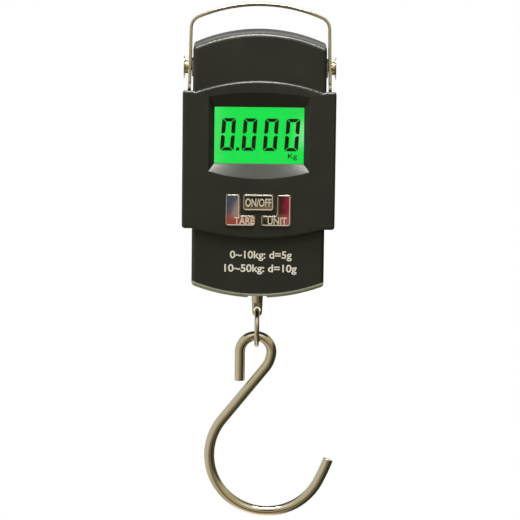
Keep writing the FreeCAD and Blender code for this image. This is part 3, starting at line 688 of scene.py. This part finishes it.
def slab(outline: Sequence[Point], front: float, back: float) -> tuple[list, list]:
    """Returns a closed prism over an outline of (x, z), between two levels of Y."""
    return loft([[(x, y, z) for x, z in outline] for y in (front, back)])


def joined(name: str, parts: Sequence[tuple[list, list]]) -> bpy.types.Mesh:
    """Returns one mesh of several skins, each its own closed shell."""
    points: list = []
    faces: list = []
    for more_points, more_faces in parts:
        faces += [tuple(i + len(points) for i in face) for face in more_faces]
        points += more_points
    return mesh_of(name, points, faces=faces)


def rounded(corners: Sequence[Point], radius: float, steps: int = 7) -> list[Point]:
    """Rounds the corners of an outline.

    Args:
        corners: the outline's corner points.
        radius: the corner radius.
        steps: points for each corner.

    Returns:
        The points of the rounded outline.
    """
    outline = []
    for i, corner in enumerate(corners):
        here = Vector(corner)
        back = (Vector(corners[i - 1]) - here).normalized()
        ahead = (Vector(corners[(i + 1) % len(corners)]) - here).normalized()
        half = back.angle(ahead) / 2
        reach = radius / math.tan(half)
        centre = here + (back + ahead).normalized() * (radius / math.sin(half))
        a, b = here + back * reach - centre, here + ahead * reach - centre
        for k in range(steps):
            t = k / (steps - 1)
            spoke = a.lerp(b, t).normalized() * radius
            outline.append(tuple(centre + spoke))
    return outline


def words(text: str, width: float, height: float, centre: Point, front: float, depth: float,
          bold: float = 0.0, soft: float = 0.0) -> bpy.types.Mesh:
    """Makes raised or printed lettering.

    Args:
        text: the characters.
        width: overall width in millimetres.
        height: overall height in millimetres.
        centre: the middle, as (x, z).
        front: the level of Y of the letters' faces.
        depth: how thick the letters are.
        bold: how far the strokes are thickened, in letter heights.
        soft: rounding of the letters' edges, in letter heights.

    Returns:
        The lettering as a closed mesh.
    """
    curve = bpy.data.curves.new("letters", "FONT")
    curve.body = text
    curve.extrude = 0.5
    curve.offset = bold
    curve.bevel_depth = soft
    curve.bevel_resolution = 2 if soft else 0
    curve.resolution_u = 6
    holder = bpy.data.objects.new("letters", curve)
    bpy.context.scene.collection.objects.link(holder)
    mesh = plain_mesh(holder)
    low = [min(v.co[k] for v in mesh.vertices) for k in range(3)]
    high = [max(v.co[k] for v in mesh.vertices) for k in range(3)]
    sizes = (width, height, depth)
    scale = [sizes[k] / (high[k] - low[k]) for k in range(3)]
    for v in mesh.vertices:
        x, up, out = ((v.co[k] - low[k]) * scale[k] for k in range(3))
        v.co = Vector((centre[0] - width / 2 + x, front + depth - out,
                       centre[1] - height / 2 + up)) * MM
    return tidy(mesh, 35.0)


def place(name: str, mesh: bpy.types.Mesh, body: str, finish: Finishes | Finish,
          slot: str = "", stands_for: Sequence[str] = ()) -> bpy.types.Object:
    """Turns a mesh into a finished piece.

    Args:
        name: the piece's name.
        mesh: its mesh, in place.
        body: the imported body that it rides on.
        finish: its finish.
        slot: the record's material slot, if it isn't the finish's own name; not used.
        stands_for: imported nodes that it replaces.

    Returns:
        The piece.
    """
    own = finish.value if isinstance(finish, Finishes) else finish
    mesh.name = name
    mesh.materials.clear()
    mesh.materials.append(own.material())
    piece = bpy.data.objects.new(name, mesh)
    bpy.context.scene.collection.objects.link(piece)
    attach(piece, body)
    slot or finish.name
    if stands_for:
        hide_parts(*stands_for)
    LOG.info("%s: %d faces, rides on %s", name, len(mesh.polygons), body)
    return piece


def dress(node: str, finish: Finishes) -> None:
    """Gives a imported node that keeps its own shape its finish."""
    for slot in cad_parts[node].material_slots:
        slot.link = "OBJECT"
        slot.material = finish.value.material()
    LOG.info("%s keeps its packed shape, in %s", node, finish.value.name)


# ---- sub-assemblies -------------------------------------------------------------------
@dataclass
class Strap:
    """The steel strap with its side screws, axle and washers."""

    body: str = "handle"

    def build(self) -> None:
        """Makes the strap's pieces."""
        place("strap", copy_of("handle"), self.body, Finishes.strap_steel,
              stands_for=["handle"])
        place("side_screws", copy_of("handle_screws"), self.body, Finishes.screw_steel,
              stands_for=["handle_screws"])
        dress("pivot_axle", Finishes.axle_steel)
        dress("axle_washers", Finishes.nylon)


@dataclass
class Casing:
    """The two shells, the printed measuring range and the case screws."""

    body: str = "casing"
    front: float = -12.5
    lines: tuple[tuple[str, float, float, Point], ...] = (
        ("0~10kg: d=5g", 29.8, 4.9, (1.5, -119.6)),
        ("10~50kg: d=10g", 34.85, 4.9, (1.4, -126.2)))

    def build(self) -> None:
        """Makes the casing's pieces."""
        place("front_case", copy_of("front_shell"), self.body, Finishes.shell_black,
              stands_for=["front_shell"])
        place("rear_case", copy_of("rear_shell"), self.body, Finishes.rear_black,
              stands_for=["rear_shell"])
        for number, (text, width, height, centre) in enumerate(self.lines, 1):
            print_mesh = words(text, width, height, centre, self.front - 0.02, 0.03, 0.022)
            place(f"range_print_{number}", print_mesh, self.body, PRINT, "plunger_white")
        place("rear_screws", copy_of("case_screws"), self.body, Finishes.zinc_screw,
              stands_for=["case_screws"])


@dataclass
class Display:
    """The lit display: clear window, glass cell, digits and what is behind them."""

    body: str = "casing"
    face: float = -9.65
    height: float = 15.7
    width: float = 6.6
    stroke: float = 1.9
    gap: float = 0.1
    slant: float = math.tan(math.radians(4.0))
    start: Point = (-18.75, -69.0)
    pitch: float = 10.25
    count: int = 4
    dot: Point = (-10.35, -68.2)
    dot_size: float = 1.55
    unit_size: Point = (4.4, 3.2)
    unit_at: Point = (16.1, -71.75)
    rise: float = 0.035
    thickness: float = 0.025
    behind: tuple[tuple[str, Finishes], ...] = (
        ("zebra_strip", Finishes.zebra_rubber), ("backlight_panel", Finishes.backlight_white),
        ("backlight_leds", Finishes.led_body))

    def strokes(self) -> list[list[Point]]:
        """Returns the six lit bars of a nought, from (0, 0) up, before the slant."""
        w, h, t, g = self.width, self.height, self.stroke, self.gap
        top = [(0.4 + g, h - 0.12), (0.6 + g, h), (w - 0.6 - g, h), (w - 0.4 - g, h - 0.12),
               (w - t - g, h - t * 0.86), (t + g, h - t * 0.86)]
        side = [(0.0, h - 0.5 - g), (0.2, h - 0.3 - g), (t, h - t * 0.9 - g * 1.5),
                (t, h / 2 + 1.15), (t * 0.5, h / 2 + 0.38), (0.0, h / 2 + 0.55)]
        bars = [top, side, [(w - x, z) for x, z in side]]
        return bars + [[(x, h - z) for x, z in bar] for bar in bars]

    def thin(self, outline: Sequence[Point]) -> tuple[list, list]:
        """Returns a thin bar that lies on the glass, slanted as the digits are."""
        leaned = [(x + (z - self.start[1]) * self.slant, z) for x, z in outline]
        front = self.face - self.rise
        return slab(leaned, front, front + self.thickness)

    def digits(self) -> bpy.types.Mesh:
        """Returns the row of noughts with its decimal point."""
        x0, z0 = self.start
        bars = [self.thin([(x + x0, z + z0) for x, z in bar]) for bar in self.strokes()]
        row = run_tree(joined("nought", bars), row_tree(), {
            "Count": self.count, "Offset": (self.pitch * MM, 0.0, 0.0),
            "Material": CRYSTAL.material()})
        r, (x, z) = self.dot_size / 2, self.dot
        point = joined("point", [self.thin([(x - r, z - r), (x + r, z - r), (x + r, z + r),
                                            (x - r, z + r)])])
        work = bmesh.new()
        for mesh in (row, point):
            work.from_mesh(mesh)
        work.to_mesh(row)
        work.free()
        return tidy(row)

    def build(self) -> None:
        """Makes the display's pieces."""
        dress("lcd_window", Finishes.clear_window)
        dress("lcd_glass", Finishes.lcd_green)
        place("digits", self.digits(), self.body, CRYSTAL, "component_black")
        unit = words("Kg", *self.unit_size, self.unit_at, self.face - self.rise,
                     self.thickness, 0.012)
        place("unit_sign", unit, self.body, CRYSTAL, "component_black")
        for node, finish in self.behind:
            dress(node, finish)


class KeyName(Enum):
    """The three keys, with the generic word on each."""

    ON_OFF = "ON/OFF"
    TARE = "TARE"
    UNIT = "UNIT"


@dataclass
class Key:
    """One chrome key: a dished cap with a raised rim, its flange, stem and word."""

    name: KeyName
    word: tuple[float, float, Point] = (12.5, 4.0, (0.0, -93.3))
    stem: Point = (0.0, -93.3)
    top: float = -89.5
    low: float = -104.6
    step: float = -99.7
    out: float = 15.5
    arm: float = 9.0
    leg: float = 1.5
    power_half: float = 7.2
    power_low: float = -97.1
    face: float = -15.2
    back: float = -12.4
    corner: float = 1.1
    flange: float = 0.6
    flange_depth: float = 0.8
    stem_radius: float = 1.7
    stem_end: float = -9.9
    skin: tuple[Point, ...] = (
        (0.0, 0.0), (0.0, -2.62), (-0.05, -2.73), (-0.14, -2.79), (-0.24, -2.8), (-0.34, -2.79),
        (-0.44, -2.74), (-0.52, -2.65), (-0.60, -2.6), (-0.75, -2.58))

    def corners(self, grow: float) -> list[Point]:
        """Returns the outline's corner points, grown outwards."""
        g = grow
        if self.name is KeyName.ON_OFF:
            h, top, low = self.power_half + g, self.top + g, self.power_low - g
            return [(-h, top), (h, top), (h, low), (-h, low)]
        out, arm, leg = self.out + g, self.arm - g, self.leg - g
        top, step, low = self.top + g, self.step + g, self.low - g
        right = [(arm, top), (out, top), (out, low), (leg, low), (leg, step), (arm, step)]
        if self.name is KeyName.UNIT:
            return right
        return [(-x, z) for x, z in right]

    def ring(self, grow: float, y: float) -> list[tuple[float, float, float]]:
        """Returns the rounded outline at a level of Y, grown outwards."""
        radius = max(0.25, self.corner + grow)
        return [(x, y, z) for x, z in rounded(self.corners(grow), radius)]

    def mesh(self) -> bpy.types.Mesh:
        """Returns the cap, flange and stem."""
        cap = loft([self.ring(grow, self.back + y) for grow, y in self.skin])
        inner = self.back + self.flange_depth
        flange = loft([self.ring(self.flange, y) for y in (self.back, inner)])
        (x, z), r = self.stem, self.stem_radius
        turn = [math.tau * i / 24 for i in range(24)]
        stem = slab([(x + r * math.cos(a), z + r * math.sin(a)) for a in turn], inner,
                    self.stem_end)
        return evened(tidy(joined("key", [cap, flange, stem]), 50.0))

    def build(self) -> None:
        """Makes the key and its word."""
        tag = self.name.name.lower()
        place(f"key_{tag}_cap", self.mesh(), f"key_{tag}", Finishes.key_chrome,
              stands_for=[f"button_{tag}"])
        width, height, centre = self.word
        letters = words(self.name.value, width, height, centre, self.face + 0.06, 0.18, 0.02)
        place(f"key_{tag}_word", letters, f"key_{tag}", LABEL, "key_chrome")
        dress(f"plunger_{tag}", Finishes.plunger_white)


@dataclass
class Works:
    """What is inside the casing: board, load cell, cells and wiring."""

    finishes: dict[str, Finishes] = field(default_factory=lambda: {
        "circuit_board": Finishes.board_green, "board_components": Finishes.component_black,
        "switch_housings": Finishes.switch_black, "board_screws": Finishes.zinc_screw,
        "load_cell": Finishes.cell_aluminium, "strain_gauges": Finishes.gauge_film,
        "eye_washer": Finishes.nylon, "eye_nut": Finishes.zinc_nut,
        "battery_left": Finishes.battery_sleeve, "battery_right": Finishes.battery_sleeve,
        "battery_springs": Finishes.contact_nickel,
        "battery_contacts": Finishes.contact_nickel, "battery_wires": Finishes.wire_red,
        "sensor_wires": Finishes.wire_white})

    def build(self) -> None:
        """Gives every inner node its finish."""
        for node, finish in self.finishes.items():
            dress(node, finish)


@dataclass
class BackCover:
    """The sliding battery cover with its grip ribs and arrow."""

    body: str = "battery_cover"
    face: float = 12.4
    first: float = -123.1
    pitch: float = 2.2
    half: float = 5.6
    arrow_z: float = -113.0
    arrow_half: float = 3.2
    arrow_head: float = 1.9
    arrow_point: float = 2.6

    def ribs(self) -> bpy.types.Mesh:
        """Returns the row of raised grip ribs, each shorter than the one above."""
        outline = [(0.55, 0.0), (0.42, 0.18), (0.2, 0.3), (-0.2, 0.3), (-0.42, 0.18),
                   (-0.55, 0.0), (-0.42, -0.06), (0.42, -0.06)]
        ends = [(-self.half - 0.25, 0.35), (-self.half, 1.0), (self.half, 1.0),
                (self.half + 0.25, 0.35)]
        rings = [[(x, self.face + rise * size, self.first + up * size) for up, rise in outline]
                 for x, size in ends]
        return run_tree(joined("rib", [loft(rings)]), row_tree(), {
            "Count": 3, "Offset": (0.0, 0.0, -self.pitch * MM), "Taper": 0.1,
            "Material": Finishes.cover_black.value.material()})

    def arrow(self) -> bpy.types.Mesh:
        """Returns the raised triangle that shows which way the cover slides."""
        rings = []
        for y, size in ((self.face - 0.03, 1.0), (self.face + 0.2, 1.0),
                        (self.face + 0.28, 0.88)):
            half, top = self.arrow_half * size, self.arrow_z + self.arrow_head * size
            outline = [(-half, top), (half, top),
                       (0.0, self.arrow_z - self.arrow_point * size)]
            rings.append([(x, y, z) for x, z in rounded(outline, 0.4 * size, 5)])
        return tidy(joined("arrow", [loft(rings)]))

    def build(self) -> None:
        """Makes the cover's pieces."""
        place("rear_cover", copy_of("battery_cover"), self.body, Finishes.cover_black,
              stands_for=["battery_cover"])
        place("cover_ribs", tidy(self.ribs()), self.body, Finishes.cover_black)
        place("cover_arrow", self.arrow(), self.body, Finishes.cover_black)


@dataclass
class HookTrain:
    """The eye, the link ring and the S hook."""

    ring_radius: float = 8.475
    ring_wire: float = 1.2
    ring_z: float = -156.97
    ring_steps: int = 96
    wire: float = 2.5
    tip_round: float = 0.45
    start: Point = (-8.15, -183.6)
    moves: tuple[tuple[float, ...], ...] = (
        (14.5,), (7.7, -186.4), (14.4, -32.1), (33.2,), (28.3, 191.0), (95.0, 7.6))
    spacing: float = 0.9
    sides: int = 40

    def bar(self, name: str, path: Sequence[Sequence[float]], girths: Sequence[float],
            wire: float, closed: bool) -> bpy.types.Mesh:
        """Sweeps a round wire along a path.

        Args:
            name: the mesh's name.
            path: the centre points in millimetres.
            girths: the share of the wire's radius at each point.
            wire: the wire's radius in millimetres.
            closed: whether the path joins up.

        Returns:
            The wire's mesh.
        """
        count = len(path)
        edges = [(i, (i + 1) % count) for i in range(count if closed else count - 1)]
        line = mesh_of(name, path, edges=edges)
        girth = line.attributes.new("girth", "FLOAT", "POINT")
        girth.data.foreach_set("value", list(girths))
        return run_tree(line, sweep_tree(), {"Sides": self.sides, "Radius": wire * MM,
                                             "Material": Finishes.hook_nickel.value.material()})

    def hook_path(self) -> list[tuple[float, float, float]]:
        """Returns the centre line of the hook, walked through its moves."""
        x, z = self.start
        heading = math.radians(90.0)
        path = [(x, z)]
        for move in self.moves:
            turn = math.radians(move[1]) if len(move) > 1 else 0.0
            length = move[0] * abs(turn) if turn else move[0]
            count = max(2, math.ceil(length / self.spacing))
            for _ in range(count):
                half = turn / count / 2
                chord = 2 * move[0] * math.sin(abs(half)) if turn else length / count
                heading += half
                x, z = x + chord * math.cos(heading), z + chord * math.sin(heading)
                heading += half
                path.append((x, z))
        return [(px, 0.0, pz) for px, pz in path]

    def square_ends(self, path: list) -> tuple[list, list[float]]:
        """Cuts both ends of a path square, with a small rounded rim.

        Args:
            path: the centre points.

        Returns:
            The new path and the girth at each of its points.
        """
        def tip(end: Vector, after: Vector) -> list[tuple[Vector, float]]:
            inward = (after - end).normalized() * self.tip_round
            lost = self.tip_round / self.wire
            angles = [math.radians(a) for a in (90, 75, 60, 45, 30, 15, 0)]
            return [(end + inward * (1 - math.sin(a)), 1 - lost * (1 - math.cos(a)))
                    for a in angles]

        points = [Vector(p) for p in path]
        head = tip(points[0], points[1])
        tail = tip(points[-1], points[-2])[::-1]
        whole = head + [(p, 1.0) for p in points[1:-1]] + tail
        return [tuple(p) for p, _ in whole], [g for _, g in whole]

    def build(self) -> None:
        """Makes the eye, the ring and the hook."""
        place("swivel_eye", copy_of("load_eye"), "swivel", Finishes.eye_nickel,
              stands_for=["load_eye"])
        r = self.ring_radius
        angles = [math.tau * i / self.ring_steps for i in range(self.ring_steps)]
        loop = [(0.0, r * math.cos(a), self.ring_z + r * math.sin(a)) for a in angles]
        ring = self.bar("ring", loop, [1.0] * len(loop), self.ring_wire, True)
        place("wire_ring", tidy(ring), "link", Finishes.ring_nickel, stands_for=["link_ring"])
        path, girths = self.square_ends(self.hook_path())
        hook = self.bar("hook", path, girths, self.wire, False)
        place("swung_hook", tidy(hook, 40.0), "hook", Finishes.hook_nickel,
              stands_for=["s_hook"])


# ---- studio ---------------------------------------------------------------------------
@dataclass
class Studio:
    """The pale floor, the soft lamps, the card that the keys mirror, and the camera."""

    floor_z: float = -0.56
    floor_radius: float = 1.9
    floor_sides: int = 96
    card_y: float = -310.0
    card_half: float = 34.0
    card_span: Point = (-205.0, 0.0)
    lamps: tuple[tuple, ...] = (
        ("overhead", (0.0, -0.12, 1.0), (0.8, 0.30), 12.0, (1.0, 1.0, 0.98), True),
        ("left_front", (-0.9, -0.8, 0.55), (0.5, 0.5), 7.0, (1.0, 0.98, 0.93), False),
        ("right_rear", (0.9, 0.7, 0.5), (0.4, 0.8), 3.0, (1.0, 0.98, 0.94), False))
    edge: tuple = ("edge_top", (0.0, -0.32, 1.0), (1.2, 0.50), 41.0, (0.97, 1.0, 0.93))
    aim: tuple[float, float, float] = (0.00112, 0.0, -0.1238)
    distance: float = 1.5
    elevation: float = 10.0
    roll: float = 0.7
    lens: float = 213.9
    sensor: float = 36.0

    def glow(self, name: str, fill: Callable[[Graph], Any]) -> bpy.types.Material:
        """Makes a stage material that gives off the colour that fill returns."""
        material = bpy.data.materials.new(name)
        material.use_nodes = True
        material.node_tree.nodes.clear()
        g = Graph(material.node_tree)
        light = g.add("ShaderNodeEmission", {"Color": fill(g)})
        out = g.add("ShaderNodeOutputMaterial")
        g.feed(out.inputs["Surface"], light.outputs[0])
        return material

    def seen_white(self, g: Graph, colour: Any) -> Any:
        """Returns white where the surface is looked at straight, and the colour elsewhere."""
        seen = g.add("ShaderNodeLightPath").outputs["Is Camera Ray"]
        return g.mix(seen, colour, (1.0, 1.0, 1.0))

    def floor(self) -> None:
        """Makes the round white floor, which lights the scale as the room does."""
        r, z, count = self.floor_radius / MM, self.floor_z / MM, self.floor_sides
        angles = [math.tau * i / count for i in range(count)]
        rim = [(r * math.cos(a), r * math.sin(a), z) for a in angles]
        mesh = mesh_of("floor", rim, faces=[tuple(range(count))])

        def fill(g: Graph) -> Any:
            way = g.add("ShaderNodeVectorMath", {0: g.place(), 1: (0.0, 0.0, -0.12)},
                        operation="SUBTRACT").outputs[0]
            room = g.add("ShaderNodeGroup", node_tree=room_light())
            g.feed(room.inputs["Way"], way)
            return self.seen_white(g, room.outputs["Colour"])

        mesh.materials.append(self.glow("studio floor", fill))
        floor = bpy.data.objects.new("floor", mesh)
        bpy.context.scene.collection.objects.link(floor)

    def card(self) -> None:
        """Hangs a small painted card in front, out of sight, for the chrome to mirror."""
        y, half, (foot, head) = self.card_y, self.card_half, self.card_span
        mesh = mesh_of("card", [(-half, y, foot), (half, y, foot), (half, y, head),
                                (-half, y, head)], faces=[(3, 2, 1, 0)])

        def fill(g: Graph) -> Any:
            at = g.add("ShaderNodeSeparateXYZ", {0: g.place()}).outputs
            stir = g.math("MULTIPLY", g.math("SUBTRACT", g.noise(g.place(), 90.0), 0.5), 0.006)
            side = g.math("ADD", g.math("DIVIDE", at[0], 1.2), stir)
            up = g.math("ADD", g.math("DIVIDE", g.math("ADD", at[2], 0.143), 1.2), stir)
            lean = g.math("SUBTRACT", side, g.math("MULTIPLY", up, 0.45))
            aside = g.math("ABSOLUTE", side)
            lower = g.ramp(up, 0.0025, -0.0015)
            lowest = g.ramp(up, -0.0030, -0.0042)
            middle = g.math("MULTIPLY", g.ramp(aside, 0.007, 0.009, (1.0, 0.0)), lower)
            middle = g.math("MULTIPLY", middle, g.ramp(up, -0.0042, -0.0030))
            pink = g.math("MULTIPLY", g.ramp(lean, -0.0122, -0.0112),
                          g.ramp(side, -0.0080, -0.0090))
            left = g.math("MULTIPLY", g.ramp(side, 0.000, -0.003), lowest)
            right = g.math("MULTIPLY", g.ramp(side, 0.0085, 0.0110), lowest)
            colour = (0.014, 0.018, 0.011)
            for share, light in ((middle, (0.34, 0.23, 0.11)),
                                 (g.ramp(side, -0.0085, -0.0105), (0.050, 0.075, 0.13)),
                                 (pink, (0.46, 0.33, 0.27)),
                                 (g.ramp(side, 0.0122, 0.0137), (0.34, 0.022, 0.060)),
                                 (left, (0.38, 0.070, 0.055)), (right, (0.42, 0.11, 0.10))):
                colour = g.mix(share, colour, light)
            rows = g.math("MULTIPLY", g.ramp(g.math("ABSOLUTE", up), 0.011, 0.015, (1.0, 0.0)),
                          g.ramp(aside, 0.020, 0.024, (1.0, 0.0)))
            return g.mix(rows, (0.06, 0.055, 0.04), colour)

        mesh.materials.append(self.glow("studio card", fill))
        card = bpy.data.objects.new("card", mesh)
        bpy.context.scene.collection.objects.link(card)
        card.visible_camera = card.visible_shadow = card.visible_diffuse = False

    def surroundings(self) -> None:
        """Lights the scene with the room, which is white where it is looked at straight."""
        world = bpy.data.worlds.new("room")
        world.use_nodes = True
        bpy.context.scene.world = world
        world.node_tree.nodes.clear()
        g = Graph(world.node_tree)
        room = g.add("ShaderNodeGroup", node_tree=room_light())
        g.feed(room.inputs["Way"], g.add("ShaderNodeTexCoord").outputs["Generated"])
        light = g.add("ShaderNodeBackground", {
            "Color": self.seen_white(g, room.outputs["Colour"]), "Strength": 1.0})
        out = g.add("ShaderNodeOutputWorld")
        g.feed(out.inputs["Surface"], light.outputs[0])

    def lamp(self, name: str, where: Sequence[float], size: Point, power: float,
             tint: Colour, mirrored: bool = True) -> bpy.types.Object:
        """Adds a soft area lamp that faces the casing.

        Args:
            name: the lamp's name.
            where: its place in metres.
            size: its width and height in metres.
            power: its power in watts.
            tint: its colour.
            mirrored: whether glossy surfaces show it.

        Returns:
            The lamp.
        """
        data = bpy.data.lights.new(name, "AREA")
        data.shape = "RECTANGLE"
        data.size, data.size_y = size
        data.energy = power
        data.color = tint
        lamp = bpy.data.objects.new(name, data)
        lamp.location = where
        aim = Vector((0.0, 0.0, -0.1)) - Vector(where)
        lamp.rotation_euler = aim.to_track_quat("-Z", "Y").to_euler()
        lamp.visible_glossy = mirrored
        bpy.context.scene.collection.objects.link(lamp)
        return lamp

    def edge_lamp(self) -> None:
        """Adds a lamp that lights only the casing, for the gleam along its rounded edges."""
        casing = bpy.data.collections.new("casing pieces")
        for name in ("front_case", "rear_case", "rear_cover"):
            casing.objects.link(bpy.data.objects[name])
        lamp = self.lamp(*self.edge)
        lamp.light_linking.receiver_collection = casing

    def camera(self) -> None:
        """Places the camera in front, a little above, slightly rolled."""
        data = bpy.data.cameras.new("camera")
        data.lens, data.sensor_width = self.lens, self.sensor
        data.dof.use_dof = False
        camera = bpy.data.objects.new("camera", data)
        up = math.radians(self.elevation)
        away = Vector((0.0, -math.cos(up), math.sin(up)))
        camera.location = Vector(self.aim) + away * self.distance
        look = (-away).to_track_quat("-Z", "Y")
        tilt = Quaternion((0.0, 0.0, 1.0), math.radians(self.roll))
        camera.rotation_euler = (look @ tilt).to_euler()
        bpy.context.scene.collection.objects.link(camera)
        bpy.context.scene.camera = camera

    def build(self) -> None:
        """Makes the whole studio."""
        self.camera()
        self.floor()
        self.card()
        self.surroundings()
        for row in self.lamps:
            self.lamp(*row)
        bpy.context.scene.view_settings.view_transform = "Standard"


def main() -> None:
    """Builds the studio and every sub-assembly."""
    logging.basicConfig(level=logging.INFO, format="%(name)s: %(message)s")
    studio = Studio()
    studio.build()
    keys = (Key(KeyName.ON_OFF), Key(KeyName.TARE, (9.6, 3.5, (-6.7, -102.1)), (-11.2, -101.4)),
            Key(KeyName.UNIT, (9.2, 3.5, (9.1, -102.1)), (11.2, -101.4)))
    for part in (Strap(), Casing(), Display(), *keys, Works(), BackCover(), HookTrain()):
        part.build()
    studio.edge_lamp()


if __name__ == "__main__":
    main()
